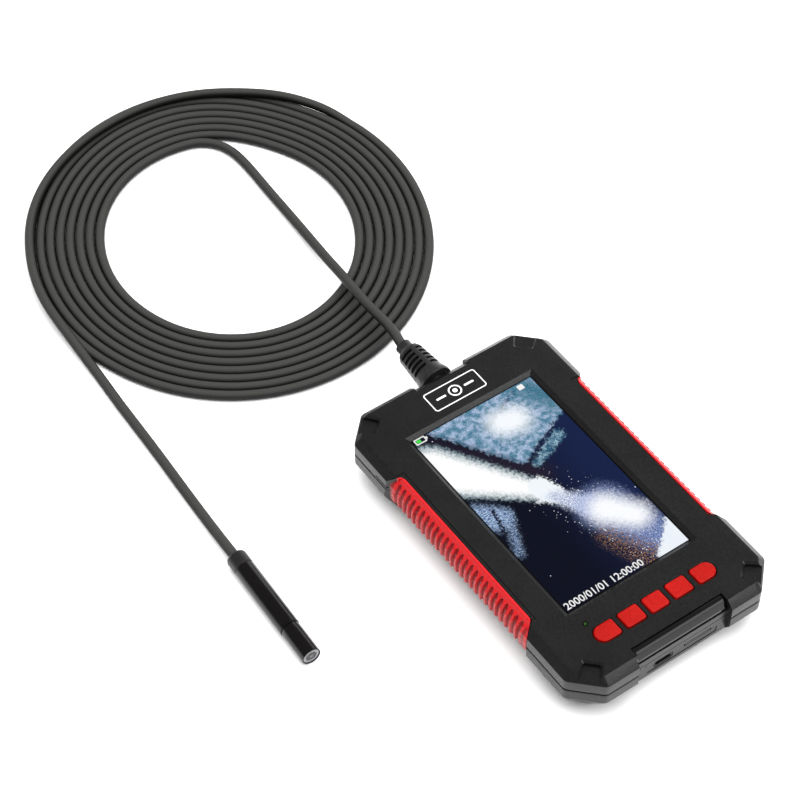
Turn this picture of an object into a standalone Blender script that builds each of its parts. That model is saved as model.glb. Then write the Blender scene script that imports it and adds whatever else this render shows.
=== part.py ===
"""Inspection camera: a handheld monitor on its back, a coiled cord and a camera head.

Sizes are in millimetres and become metres in place(). +X is the right of the screen,
+Y is towards the cord and +Z is up through the screen. The origin is the middle of the
monitor's back, on the floor.
"""

import math

import bmesh
import bpy
import numpy as np
from mathutils import Matrix, Vector

MM = 0.001
GAP = 0.3
PAST = 5.0
SIDES = (-1, 1)

# Monitor case: an eight-sided outline with a bevelled front edge and a tapered back.
HALF_X = 45.3
HALF_Y = 74.4
MIDDLE_Y = -0.6
CORNER_SUM = 109.2
FRONT_Z = 24.0
BEVEL_Z = 21.1
BEVEL_IN = 3.1
BEVEL_CORNER_SUM = 105.7
PARTING_Z = 16.0
TAPER_Z = 10.9
TAPER_IN = 8.0
WALL = 2.2
CAVITY_X = 37.8
CAVITY_Y = 70.8
CAVITY_SUM = 98.0
CEILING_Z = FRONT_Z - WALL
SET_BACK_Y = 72.8
TOP_NOTCH_X = 12.4
BOTTOM_NOTCH = (-20.5, 21.2)

# Screen opening and what is under it.
OPENING = ((-29.6, -45.0), (29.6, 52.9))
OPENING_BEVEL = 1.5
LIP_Z = 22.7
WINDOW_Z = (21.4, 22.6)
LCD = ((-30.0, -48.5, 18.9), (30.0, 55.0, 21.1))

# Grips.
GRIP_Y = (-38.5, 39.0)
GRIP_X = 40.3
RIB_X = 44.8
GROOVE_X = 43.7
RIB_Z = (10.5, 19.6)
SEAT_Z = 10.2
SEAT_X = 39.6
GRIP_SLANT = 0.81
GROOVES = 26
GROOVE_PITCH = 2.957
GROOVE_WIDTH = 1.2

# Buttons: the left and right ends of each, from left to right.
BUTTON_SPANS = ((-26.8, -17.4), (-15.0, -6.4), (-4.1, 4.0), (6.4, 14.9), (17.6, 26.6))
BUTTON_Y = (-61.3, -54.3)
BUTTON_TOP_Z = 24.5
BUTTON_CORNER = 1.0
BUTTON_END = 3.4
FLANGE_Z = (20.4, 21.4)
FLANGE_OUT = 1.0
SWITCH_Z = (17.8, 19.6)
LED_AT = (-26.0, -51.0)

# Badge, corner pockets and the glossy bar above the sockets.
BADGE = ((-12.1, 56.5), (11.4, 66.0))
BADGE_CORNER = 1.6
BADGE_Z = (23.4, 23.97)
POCKET_HALF = (3.9, 4.9)
POCKET_IN = 5.4
POCKET_ALONG = 1.0
POCKET_Z = 22.2
BAR_X = (-19.4, 20.9)
BAR_PROFILE = ((-68.6, 23.9), (-70.3, 23.95), (-71.1, 23.5), (-72.4, 20.5), (-72.4, 19.2), (-68.6, 19.2))

# Sockets in the bottom wall.
USB_X = (-11.3, -3.3)
USB_Z = (10.7, 13.5)
USB_Y = (-72.5, -65.0)
CARD_SLOT_X = (2.0, 14.6)
CARD_X = (2.8, 13.8)
CARD_Z = (12.25, 12.95)
CARD_Y = (-72.6, -57.6)
CARD_SOCKET = ((1.4, -69.6, 10.5), (15.2, -56.8, 14.2))
PINHOLES = ((-18.3, 15.1, 0.45), (-15.4, 14.5, 0.3))

# Case screws.
SCREW_AT = (32.5, 59.0)
SCREW_R = 1.2
SCREW_HEAD_R = 2.3
SCREW_HEAD_Z = (0.5, 2.3)
SCREW_TIP_Z = 18.5
BOSS_SPLIT_Z = 14.0
BOSS_R = 3.5

# Strain relief: radius against the distance along +Y.
RELIEF_Z = 17.0
RELIEF_PROFILE = (
    (68.3, 4.3), (70.4, 4.3), (70.4, 3.3), (73.1, 3.3), (73.1, 6.7), (74.6, 6.9), (76.0, 6.5),
    (79.0, 6.0), (84.0, 5.5), (88.5, 4.8), (90.5, 4.7), (93.0, 3.5), (95.2, 2.8), (96.0, 2.5),
)
RELIEF_SLOTS = 5
RELIEF_SLOT_Y = 79.6
RELIEF_SLOT_PITCH = 2.4
RELIEF_SLOT_WIDTH = 1.1
RELIEF_CORE = 2.6

# Cord, coil and camera head.
CORD_D = 3.9
CORD_R = CORD_D / 2
LEAD_ROUTE = (
    (0.0, 96.6, 17.0), (0.9, 100.5, 16.6), (3.2, 122.7, 13.0), (5.8, 144.1, 9.0), (7.3, 157.0, 6.5),
    (10.1, 183.3, 3.0), (11.9, 216.3, 1.95), (12.3, 231.7, 1.95), (10.8, 240.3, 1.95),
)
TAIL_ROUTE = (
    (-99.0, 169.0, 1.95), (-99.4, 160.0, 1.95), (-100.1, 141.6, 1.95), (-100.8, 120.6, 1.95),
    (-101.6, 97.5, 1.95), (-102.2, 75.5, 2.8), (-102.9, 56.9, 4.0),
)
COIL_CENTRE = (-15.8, 196.7)
COIL_TURN = -0.179
COIL_IN = (50.2, 54.8)
COIL_OUT = (84.7, 89.3)
COIL_SEGMENTS = 72
HEAD_REAR = (-102.9, 56.6)
HEAD_TIP = (-104.6, 4.1)
HEAD_Z = 4.0
SLEEVE_PROFILE = (
    (0.0, 0.0), (0.0, 2.1), (0.5, 2.9), (1.5, 3.6), (2.8, 3.95), (4.0, 4.0), (37.4, 4.0), (37.9, 3.8),
    (37.9, 3.2), (6.0, 3.2), (6.0, 0.0),
)
BARREL_PROFILE = (
    (34.0, 2.0), (34.0, 2.9), (38.2, 2.9), (38.2, 3.5), (38.6, 3.85), (52.0, 3.85), (52.5, 3.5),
    (52.5, 3.2), (51.2, 3.2), (51.2, 2.0), (34.0, 2.0),
)
LED_RING_PROFILE = ((51.5, 1.4), (51.5, 2.9), (52.3, 2.9), (52.3, 1.4), (51.5, 1.4))
LENS_PROFILE = ((49.5, 0.0), (49.5, 1.1), (52.1, 1.1), (52.4, 0.8), (52.5, 0.0))
SENSOR_BOX = ((-2.0, -22.0, -0.6), (2.0, -8.0, 0.6))

PALETTE = {
    "case": ((0.022, 0.022, 0.024), 0.55, 0.0),
    "grip": ((0.75, 0.02, 0.03), 0.45, 0.0),
    "button": ((0.62, 0.02, 0.01), 0.4, 0.0),
    "bar": ((0.01, 0.01, 0.011), 0.15, 0.0),
    "badge": ((0.03, 0.03, 0.033), 0.4, 0.0),
    "window": ((0.25, 0.4, 0.6), 0.1, 0.0),
    "panel": ((0.12, 0.16, 0.25), 0.3, 0.0),
    "board": ((0.02, 0.16, 0.06), 0.5, 0.0),
    "battery": ((0.35, 0.37, 0.42), 0.4, 0.0),
    "switch": ((0.05, 0.05, 0.05), 0.5, 0.0),
    "green": ((0.1, 0.8, 0.15), 0.3, 0.0),
    "steel": ((0.55, 0.56, 0.58), 0.3, 1.0),
    "card": ((0.03, 0.03, 0.04), 0.45, 0.0),
    "cord": ((0.05, 0.05, 0.055), 0.5, 0.0),
    "head": ((0.012, 0.012, 0.013), 0.2, 0.0),
    "ring": ((0.6, 0.61, 0.62), 0.35, 0.0),
    "lens": ((0.03, 0.04, 0.06), 0.05, 0.0),
}


def material(name, kind):
    colour, roughness, metallic = PALETTE[kind]
    made = bpy.data.materials.new(name)
    made.use_nodes = True
    shader = made.node_tree.nodes["Principled BSDF"]
    shader.inputs["Base Color"].default_value = (*colour, 1.0)
    shader.inputs["Roughness"].default_value = roughness
    shader.inputs["Metallic"].default_value = metallic
    return made


def place(name, points, faces, kind, origin=(0.0, 0.0, 0.0)):
    """A mesh object from points in millimetres, with its origin at the point given."""
    mesh = bpy.data.meshes.new(name)
    start = Vector(origin)
    mesh.from_pydata([(Vector(point) - start) * MM for point in points], [], faces)
    tidy = bmesh.new()
    tidy.from_mesh(mesh)
    bmesh.ops.recalc_face_normals(tidy, faces=tidy.faces)
    tidy.to_mesh(mesh)
    tidy.free()
    made = bpy.data.objects.new(name, mesh)
    made.location = start * MM
    bpy.context.scene.collection.objects.link(made)
    if kind:
        mesh.materials.append(material(name, kind))
    else:
        made.hide_render = True
        made.display_type = "WIRE"
    return made


def loft(name, sections, kind, origin=(0.0, 0.0, 0.0)):
    """A closed body through outlines with equal numbers of points."""
    count = len(sections[0])
    points = [point for section in sections for point in section]
    faces = [tuple(range(count))]
    for row in range(len(sections) - 1):
        low = row * count
        for i in range(count):
            j = (i + 1) % count
            faces.append((low + i, low + j, low + count + j, low + count + i))
    faces.append(tuple(range(len(points) - count, len(points))))
    return place(name, points, faces, kind, origin)


def prism(name, outline, low, high, kind, origin=(0.0, 0.0, 0.0)):
    return loft(name, [[(x, y, z) for x, y in outline] for z in (low, high)], kind, origin)


def box(name, low, high, kind):
    outline = [(low[0], low[1]), (high[0], low[1]), (high[0], high[1]), (low[0], high[1])]
    return prism(name, outline, low[2], high[2], kind)


def bar_along_x(name, profile, low, high, kind):
    return loft(name, [[(x, y, z) for y, z in profile] for x in (low, high)], kind)


def turned(name, profile, kind, segments=24, start=(0.0, 0.0, 0.0), heading=(0.0, 1.0, 0.0)):
    """A body turned about the line from start along heading; profile is (distance, radius).

    A profile that ends where it starts makes a ring, and any other is closed at both ends.
    """
    along = Vector(heading).normalized()
    across = Vector((0.0, 0.0, 1.0)) if abs(along.z) < 0.5 else Vector((1.0, 0.0, 0.0))
    side = along.cross(across)
    base = Vector(start)
    points = []
    rows = []
    ring = profile[0] == profile[-1]
    for distance, radius in profile[:-1] if ring else profile:
        centre = base + along * distance
        if radius == 0.0:
            rows.append([len(points)] * segments)
            points.append(centre)
            continue
        rows.append(range(len(points), len(points) + segments))
        for i in range(segments):
            angle = 2 * math.pi * i / segments
            points.append(centre + (across * math.cos(angle) + side * math.sin(angle)) * radius)
    faces = []
    pairs = list(zip(rows, rows[1:]))
    if ring:
        pairs.append((rows[-1], rows[0]))
    else:
        faces += [tuple(row) for row in (rows[0], rows[-1]) if len(set(row)) > 1]
    for first, second in pairs:
        for i in range(segments):
            j = (i + 1) % segments
            corners = dict.fromkeys((first[i], first[j], second[j], second[i]))
            if len(corners) > 2:
                faces.append(tuple(corners))
    made = place(name, points, faces, kind)
    if kind:
        smooth(made)
    return made


def smooth(made):
    made.data.shade_smooth()
    made.data.set_sharp_from_angle(angle=math.radians(35))


def apply_shape(target, other, operation):
    change = target.modifiers.new(other.name, "BOOLEAN")
    change.operation = operation
    change.solver = "EXACT"
    change.object = other


def cut(target, *others):
    for other in others:
        apply_shape(target, other, "DIFFERENCE")


def add(target, *others):
    for other in others:
        apply_shape(target, other, "UNION")


def octagon(half_x, half_y, corner_sum, z, middle_y=0.0):
    """The eight-sided outline whose corners lie on |x| + |y - middle_y| = corner_sum."""
    outline = []
    for sx, sy, long_side_first in ((1, 1, True), (-1, 1, False), (-1, -1, True), (1, -1, False)):
        on_side = (sx * half_x, middle_y + sy * (corner_sum - half_x), z)
        on_end = (sx * (corner_sum - half_y), middle_y + sy * half_y, z)
        outline += [on_side, on_end] if long_side_first else [on_end, on_side]
    return outline


def rounded(low, high, left_r, right_r, steps=4):
    """A rectangle's outline with its own corner radius at each end."""
    outline = []
    corners = (
        (high[0] - right_r, high[1] - right_r, right_r, 0),
        (low[0] + left_r, high[1] - left_r, left_r, 1),
        (low[0] + left_r, low[1] + left_r, left_r, 2),
        (high[0] - right_r, low[1] + right_r, right_r, 3),
    )
    for x, y, radius, quarter in corners:
        for step in range(steps + 1):
            angle = (quarter + step / steps) * math.pi / 2
            outline.append((x + radius * math.cos(angle), y + radius * math.sin(angle)))
    return outline


def grown(low, high, by):
    return (low[0] - by, low[1] - by), (high[0] + by, high[1] + by)


def spline(route, spacing):
    """Evenly read points of the natural cubic through the route."""
    route = np.array(route)
    knots = np.concatenate([[0.0], np.cumsum(np.linalg.norm(np.diff(route, axis=0), axis=1))])
    step = np.diff(knots)
    slope = np.diff(route, axis=0) / step[:, None]
    system = np.eye(len(route))
    right = np.zeros_like(route)
    for i in range(1, len(route) - 1):
        system[i, i - 1 : i + 2] = step[i - 1], 2 * (step[i - 1] + step[i]), step[i]
        right[i] = 6 * (slope[i] - slope[i - 1])
    bend = np.linalg.solve(system, right)
    points = []
    for at in np.linspace(0.0, knots[-1], int(knots[-1] / spacing) + 1):
        i = min(int(np.searchsorted(knots, at, side="right")) - 1, len(step) - 1)
        u = at - knots[i]
        linear = slope[i] - step[i] * (2 * bend[i] + bend[i + 1]) / 6
        cubic = (bend[i + 1] - bend[i]) / (6 * step[i])
        points.append(route[i] + linear * u + bend[i] * u**2 / 2 + cubic * u**3)
    return points


def tube(name, route, kind):
    """A round cord along the route, never lower than the floor."""
    curve = bpy.data.curves.new(name, "CURVE")
    curve.dimensions = "3D"
    curve.bevel_depth = CORD_R * MM
    curve.bevel_resolution = 2
    curve.use_fill_caps = True
    points = spline(route, 2.5 * CORD_D)
    line = curve.splines.new("POLY")
    line.points.add(len(points) - 1)
    for slot, (x, y, z) in zip(line.points, points):
        slot.co = (x * MM, y * MM, max(z, CORD_R) * MM, 1.0)
    made = bpy.data.objects.new(name, curve)
    bpy.context.scene.collection.objects.link(made)
    curve.materials.append(material(name, kind))
    return made


def make_front_shell():
    outline = [
        octagon(HALF_X, HALF_Y, CORNER_SUM, PARTING_Z + GAP / 2, MIDDLE_Y),
        octagon(HALF_X, HALF_Y, CORNER_SUM, BEVEL_Z, MIDDLE_Y),
        octagon(HALF_X - BEVEL_IN, HALF_Y - BEVEL_IN, BEVEL_CORNER_SUM, FRONT_Z, MIDDLE_Y),
    ]
    shell = loft("front_shell", outline, "case")
    cavity = []
    for z in (PARTING_Z - PAST, CEILING_Z):
        ring = octagon(CAVITY_X, CAVITY_Y, CAVITY_SUM, z)
        cavity.append([(x, max(y, BAR_PROFILE[0][0] + 2.3), z) for x, y, z in ring])
    cut(shell, loft("cut_front_cavity", cavity, None))
    add_bosses(shell, "front", BOSS_SPLIT_Z + GAP / 2, CEILING_Z + 0.5, BOSS_R - 0.3)
    cut(shell, grip_cutter("front", -1), grip_cutter("front", 1))
    cut(shell, *set_back_cutters("front"))
    cut(shell, *screw_holes("front", 0.0, SCREW_TIP_Z + GAP, SCREW_R + GAP))
    cut(shell, opening_cutter())
    cut(shell, box("cut_lip", (-28.1, -43.5, 20.0), (28.1, 51.4, LIP_Z + 0.2), None))
    for i, (left_r, right_r, low, high) in enumerate(button_shapes()):
        outline = rounded(*grown(low, high, GAP), left_r + GAP, right_r + GAP)
        cut(shell, prism(f"cut_button_{i + 1}", outline, CEILING_Z - PAST, FRONT_Z + PAST, None))
    cut(shell, turned("cut_led", ((15.0, 0.9), (30.0, 0.9)), None, 12, (*LED_AT, 0.0), (0, 0, 1)))
    badge = rounded(*grown(*BADGE, GAP), BADGE_CORNER, BADGE_CORNER)
    cut(shell, prism("cut_badge", badge, BADGE_Z[0] - GAP, FRONT_Z + PAST, None))
    bar_low, bar_high = (BAR_X[0] - GAP, -90.0, 18.9), (BAR_X[1] + GAP, BAR_PROFILE[0][0] + GAP, 30.0)
    cut(shell, box("cut_bar", bar_low, bar_high, None))
    cut(shell, *pocket_cutters())
    cut(shell, relief_cutter("front"))


def make_back_shell():
    low_sum = CORNER_SUM - TAPER_IN * math.sqrt(2)
    outline = [
        octagon(HALF_X - TAPER_IN, HALF_Y - TAPER_IN, low_sum, 0.0, MIDDLE_Y),
        octagon(HALF_X, HALF_Y, CORNER_SUM, TAPER_Z, MIDDLE_Y),
        octagon(HALF_X, HALF_Y, CORNER_SUM, PARTING_Z - GAP / 2, MIDDLE_Y),
    ]
    shell = loft("back_shell", outline, "case")
    cavity = [
        octagon(36.3, 65.1, 96.1, WALL),
        octagon(CAVITY_X, CAVITY_Y, CAVITY_SUM, TAPER_Z),
        octagon(CAVITY_X, CAVITY_Y, CAVITY_SUM, PARTING_Z + PAST),
    ]
    cut(shell, loft("cut_back_cavity", cavity, None))
    add_bosses(shell, "back", WALL - 0.5, BOSS_SPLIT_Z - GAP / 2, BOSS_R)
    cut(shell, grip_cutter("back", -1), grip_cutter("back", 1))
    cut(shell, *set_back_cutters("back"))
    cut(shell, *screw_holes("back", -PAST, BOSS_SPLIT_Z + PAST, SCREW_R + GAP))
    cut(shell, *screw_holes("head", -PAST, SCREW_HEAD_Z[1] + GAP, SCREW_HEAD_R + GAP))
    usb = rounded((USB_X[0] - GAP, USB_Z[0] - GAP), (USB_X[1] + GAP, USB_Z[1] + GAP), 1.2, 1.2)
    cut(shell, wall_cutter("cut_usb", usb))
    slot = rounded((CARD_SLOT_X[0], CARD_Z[0] - GAP), (CARD_SLOT_X[1], CARD_Z[1] + GAP), 0.5, 0.5)
    cut(shell, wall_cutter("cut_card", slot))
    for i, (x, z, radius) in enumerate(PINHOLES):
        hole = rounded((x - radius, z - radius), (x + radius, z + radius), radius * 0.99, radius * 0.99, 2)
        cut(shell, wall_cutter(f"cut_pinhole_{i + 1}", hole))
    cut(shell, relief_cutter("back"))


def wall_cutter(name, outline):
    """A cutter through the bottom wall with the outline given in x and z."""
    return loft(name, [[(x, y, z) for x, z in outline] for y in (-HALF_Y - PAST, -CAVITY_Y + PAST)], None)


def corners_of(at):
    return [(sx * at[0], sy * at[1]) for sx in SIDES for sy in SIDES]


def add_bosses(shell, which, low, high, radius):
    for i, (x, y) in enumerate(corners_of(SCREW_AT)):
        ends = ((low, radius), (high, radius))
        post = turned(f"add_boss_{which}_{i + 1}", ends, None, 16, (x, y, 0.0), (0, 0, 1))
        add(shell, post)


def screw_holes(which, low, high, radius):
    return [
        turned(f"cut_screw_{which}_{i + 1}", ((low, radius), (high, radius)), None, 16, (x, y, 0.0), (0, 0, 1))
        for i, (x, y) in enumerate(corners_of(SCREW_AT))
    ]


def grip_cutter(which, side):
    """A grip's seat, and the wall below it drawn in."""
    far = RIB_X + PAST
    seat = GRIP_X - GAP
    profile = (
        (seat, FRONT_Z + PAST), (seat, SEAT_Z), (SEAT_X, SEAT_Z),
        (SEAT_X, -PAST), (far, -PAST), (far, FRONT_Z + PAST),
    )
    rows = []
    for y, way in ((GRIP_Y[0] - GAP, -1), (GRIP_Y[1] + GAP, 1)):
        rows.append([(side * x, y + way * GRIP_SLANT * (x - seat), z) for x, z in profile])
    return loft(f"cut_grip_{which}_{side}", rows, None)


def set_back_cutters(which):
    """The shallow notches at the middle of the top and bottom walls."""
    top = box(f"cut_top_{which}", (-TOP_NOTCH_X, SET_BACK_Y, -PAST), (TOP_NOTCH_X, 90.0, 30.0), None)
    low = (BOTTOM_NOTCH[0], -90.0, -PAST)
    bottom = box(f"cut_bottom_{which}", low, (BOTTOM_NOTCH[1], -SET_BACK_Y, 30.0), None)
    return top, bottom


def opening_cutter():
    (left, low), (right, high) = OPENING
    rows = []
    for z, inset in ((LIP_Z, OPENING_BEVEL), (FRONT_Z, 0.0), (FRONT_Z + PAST, 0.0)):
        rows.append([
            (left + inset, low + inset, z), (right - inset, low + inset, z),
            (right - inset, high - inset, z), (left + inset, high - inset, z),
        ])
    return loft("cut_opening", rows, None)


def relief_cutter(which):
    profile = ((CAVITY_Y - 2.0, 3.6), (HALF_Y + PAST, 3.6))
    return turned(f"cut_relief_{which}", profile, None, 20, (0.0, 0.0, RELIEF_Z))


def pocket_cutters():
    """A shallow pocket through the front edge of each cut corner."""
    cutters = []
    edge = BEVEL_CORNER_SUM / math.sqrt(2)
    half_gap = (HALF_X - HALF_Y) / 2 - POCKET_ALONG / math.sqrt(2)
    for i, (sx, sy) in enumerate(corners_of((1, 1))):
        out = Vector((sx, sy, 0.0)).normalized()
        along = Vector((-sx, sy, 0.0)).normalized()
        middle = out * edge + Vector((sx * half_gap, MIDDLE_Y - sy * half_gap, 0.0))
        inner, outer = POCKET_HALF
        outline = []
        for a, b in ((-inner, -POCKET_IN), (inner, -POCKET_IN), (outer, PAST), (-outer, PAST)):
            outline.append(tuple(middle + along * a + out * b)[:2])
        cutters.append(prism(f"cut_pocket_{i + 1}", outline, POCKET_Z, FRONT_Z + PAST, None))
    return cutters


def make_grip(name, side):
    """Ribs below and a smooth sloping strip above, joined into one soft piece."""
    middle = sum(GRIP_Y) / 2
    slanted = GRIP_SLANT * (RIB_X - GRIP_X)
    comb = [(GRIP_X, GRIP_Y[0]), (RIB_X, GRIP_Y[0] - slanted)]
    for i in range(GROOVES):
        y = middle + (i - (GROOVES - 1) / 2) * GROOVE_PITCH
        half = GROOVE_WIDTH / 2
        comb += [(RIB_X, y - half), (GROOVE_X, y - half / 2), (GROOVE_X, y + half / 2), (RIB_X, y + half)]
    comb += [(RIB_X, GRIP_Y[1] + slanted), (GRIP_X, GRIP_Y[1])]
    grip = prism(name, [(side * x, y) for x, y in comb], *RIB_Z, "grip")
    strip = ((GRIP_X, 19.0), (44.0, 19.0), (44.0, 20.0), (42.0, 22.4), (40.9, 23.95), (GRIP_X, 23.95))
    rows = []
    for y, way in zip(GRIP_Y, (-1, 1)):
        rows.append([(side * x, y + way * GRIP_SLANT * (x - GRIP_X), z) for x, z in strip])
    add(grip, loft(f"add_strip_{name}", rows, None))


def button_shapes():
    """(left radius, right radius, low corner, high corner) of each button's outline."""
    last = len(BUTTON_SPANS) - 1
    for i, (left, right) in enumerate(BUTTON_SPANS):
        left_r = BUTTON_END if i == 0 else BUTTON_CORNER
        right_r = BUTTON_END if i == last else BUTTON_CORNER
        yield left_r, right_r, (left, BUTTON_Y[0]), (right, BUTTON_Y[1])


def make_buttons():
    for i, (left_r, right_r, low, high) in enumerate(button_shapes()):
        origin = ((low[0] + high[0]) / 2, (low[1] + high[1]) / 2, FLANGE_Z[0])
        body = rounded(low, high, left_r, right_r)
        top = rounded(*grown(low, high, -0.4), left_r - 0.4, right_r - 0.4)
        flange = rounded(*grown(low, high, FLANGE_OUT), left_r + FLANGE_OUT, right_r + FLANGE_OUT)
        levels = (
            (flange, FLANGE_Z[0]), (flange, FLANGE_Z[1]), (body, FLANGE_Z[1]),
            (body, BUTTON_TOP_Z - 0.35), (top, BUTTON_TOP_Z),
        )
        rows = [[(x, y, z) for x, y in outline] for outline, z in levels]
        loft(f"button_{i + 1}", rows, "button", origin)
        x, y = origin[:2]
        box(f"key_switch_{i + 1}", (x - 2.2, y - 2.2, SWITCH_Z[0]), (x + 2.2, y + 2.2, SWITCH_Z[1]), "switch")


def make_screen():
    (left, low), (right, high) = OPENING
    inset = OPENING_BEVEL + GAP
    near, far = (left + inset, low + inset, WINDOW_Z[0]), (right - inset, high - inset, WINDOW_Z[1])
    box("screen_window", near, far, "window")
    box("lcd_panel", *LCD, "panel")


def make_electronics():
    box("battery", (-24.0, -30.0, 2.6), (24.0, 30.0, 8.6), "battery")
    board = ((-26, -68.6), (26, -68.6), (26, -52), (34, -52), (34, 52), (-34, 52), (-34, -52), (-26, -52))
    prism("main_board", board, 9.0, 10.2, "board")
    box("key_board", (-27.8, -64.0, 16.6), (27.8, -50.0, 17.5), "board")
    led_profile = ((17.8, 1.0), (19.4, 1.0), (19.4, 0.6), (23.95, 0.6))
    turned("status_led", led_profile, "green", 12, (*LED_AT, 0.0), (0, 0, 1))


def make_usb_port():
    def outline(grow):
        low, high = (USB_X[0] - grow, USB_Z[0] - grow), (USB_X[1] + grow, USB_Z[1] + grow)
        return rounded(low, high, 1.1 + grow, 1.1 + grow)

    port = loft("usb_port", [[(x, y, z) for x, z in outline(0.0)] for y in USB_Y], "steel")
    inside = [[(x, y, z) for x, z in outline(-0.4)] for y in (USB_Y[0] - PAST, USB_Y[1] - 0.8)]
    cut(port, loft("cut_usb_inside", inside, None))
    middle = sum(USB_X) / 2
    tongue_low, tongue_high = (middle - 2.2, USB_Y[0] + 0.8, 11.8), (middle + 2.2, USB_Y[1] - 0.4, 12.4)
    add(port, box("add_usb_tongue", tongue_low, tongue_high, None))


def make_card_and_socket():
    socket = box("card_socket", *CARD_SOCKET, "steel")
    low = (CARD_X[0] - GAP, CARD_Y[0] - PAST, CARD_Z[0] - GAP)
    cut(socket, box("cut_card_socket", low, (CARD_X[1] + GAP, CARD_Y[1] + GAP, CARD_Z[1] + GAP), None))
    outline = (
        (CARD_X[0], CARD_Y[0]), (CARD_X[1], CARD_Y[0]), (CARD_X[1], CARD_Y[1] - 6.0),
        (CARD_X[1] - 1.4, CARD_Y[1] - 4.6), (CARD_X[1] - 1.4, CARD_Y[1]), (CARD_X[0], CARD_Y[1]),
    )
    origin = (sum(CARD_X) / 2, CARD_Y[0], sum(CARD_Z) / 2)
    prism("memory_card", outline, *CARD_Z, "card", origin)


def make_trim():
    prism("badge_plate", rounded(*BADGE, BADGE_CORNER, BADGE_CORNER), *BADGE_Z, "badge")
    bar_along_x("port_bar", BAR_PROFILE, *BAR_X, "bar")


def make_screws():
    profile = (
        (SCREW_HEAD_Z[0], SCREW_HEAD_R - 0.5), (SCREW_HEAD_Z[0] + 0.4, SCREW_HEAD_R),
        (SCREW_HEAD_Z[1], SCREW_HEAD_R), (SCREW_HEAD_Z[1], SCREW_R),
        (SCREW_TIP_Z - 0.6, SCREW_R), (SCREW_TIP_Z, SCREW_R - 0.5),
    )
    for i, (x, y) in enumerate(corners_of(SCREW_AT)):
        turned(f"case_screw_{i + 1}", profile, "steel", 16, (x, y, 0.0), (0, 0, 1))


def make_strain_relief():
    relief = turned("strain_relief", RELIEF_PROFILE, "cord", 28, (0.0, 0.0, RELIEF_Z))
    for i in range(RELIEF_SLOTS):
        low = RELIEF_SLOT_Y + i * RELIEF_SLOT_PITCH
        high = low + RELIEF_SLOT_WIDTH
        for side in SIDES:
            near, far = sorted((side * RELIEF_CORE, side * 12.0))
            cut(relief, box(f"cut_relief_{i + 1}_{side}", (near, low, 5.0), (far, high, 30.0), None))


def make_coil():
    """One flat oval ring that stands for the turns of the coiled cord."""
    edge = 0.9
    profile = (
        (0.0, edge, 0.0), (1.0, -edge, 0.0), (1.0, 0.0, edge), (1.0, 0.0, CORD_D - edge),
        (1.0, -edge, CORD_D), (0.0, edge, CORD_D), (0.0, 0.0, CORD_D - edge), (0.0, 0.0, edge),
    )
    sections = []
    turn = Matrix.Rotation(COIL_TURN, 2)
    for i in range(COIL_SEGMENTS):
        angle = 2 * math.pi * i / COIL_SEGMENTS
        section = []
        for share, shift, z in profile:
            minor = COIL_IN[0] + (COIL_OUT[0] - COIL_IN[0]) * share + shift
            major = COIL_IN[1] + (COIL_OUT[1] - COIL_IN[1]) * share + shift
            at = turn @ Vector((minor * math.cos(angle), major * math.sin(angle)))
            section.append((COIL_CENTRE[0] + at.x, COIL_CENTRE[1] + at.y, z))
        sections.append(section)
    count = len(profile)
    points = [point for section in sections for point in section]
    faces = []
    for row in range(COIL_SEGMENTS):
        low = row * count
        high = (row + 1) % COIL_SEGMENTS * count
        for i in range(count):
            j = (i + 1) % count
            faces.append((low + i, low + j, high + j, high + i))
    smooth(place("cord_coil", points, faces, "cord"))


def make_head():
    rear = Vector((*HEAD_REAR, HEAD_Z))
    heading = Vector((*HEAD_TIP, HEAD_Z)) - rear
    turned("head_sleeve", SLEEVE_PROFILE, "head", 24, rear, heading)
    turned("lens_barrel", BARREL_PROFILE, "head", 24, rear, heading)
    turned("led_ring", LED_RING_PROFILE, "ring", 24, rear, heading)
    turned("lens_window", LENS_PROFILE, "lens", 16, rear, heading)
    board = box("sensor_board", *SENSOR_BOX, "board")
    board.location = rear * MM
    board.rotation_euler = (0.0, 0.0, math.atan2(heading.y, heading.x) + math.pi / 2)


def main():
    for old in list(bpy.data.objects):
        bpy.data.objects.remove(old)
    make_front_shell()
    make_back_shell()
    make_grip("left_grip", -1)
    make_grip("right_grip", 1)
    make_buttons()
    make_screen()
    make_trim()
    make_electronics()
    make_usb_port()
    make_card_and_socket()
    make_screws()
    make_strain_relief()
    tube("cord_lead", LEAD_ROUTE, "cord")
    make_coil()
    tube("cord_tail", TAIL_ROUTE, "cord")
    make_head()


main()
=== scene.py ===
"""Looks of the inspection camera: every visible piece, the floor, the light and the camera.

Sizes are in millimetres in the part's own frame and become metres in mesh_piece().
"""

import math

import bmesh
import bpy
import numpy as np
from mathutils import Matrix, Vector


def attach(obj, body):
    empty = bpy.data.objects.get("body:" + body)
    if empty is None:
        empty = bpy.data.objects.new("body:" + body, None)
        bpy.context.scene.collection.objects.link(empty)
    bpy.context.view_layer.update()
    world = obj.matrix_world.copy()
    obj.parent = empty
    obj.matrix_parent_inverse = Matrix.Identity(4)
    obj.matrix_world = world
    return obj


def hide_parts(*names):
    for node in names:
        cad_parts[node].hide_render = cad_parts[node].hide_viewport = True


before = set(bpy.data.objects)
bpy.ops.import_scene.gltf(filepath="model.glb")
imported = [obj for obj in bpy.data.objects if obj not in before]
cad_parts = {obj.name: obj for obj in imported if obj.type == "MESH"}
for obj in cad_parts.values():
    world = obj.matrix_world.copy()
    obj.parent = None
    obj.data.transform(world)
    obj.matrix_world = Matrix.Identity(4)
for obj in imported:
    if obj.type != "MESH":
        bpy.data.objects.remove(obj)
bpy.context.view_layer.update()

MM = 0.001
PAST = 5.0
GAP = 0.3
SIDES = (-1, 1)

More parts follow.
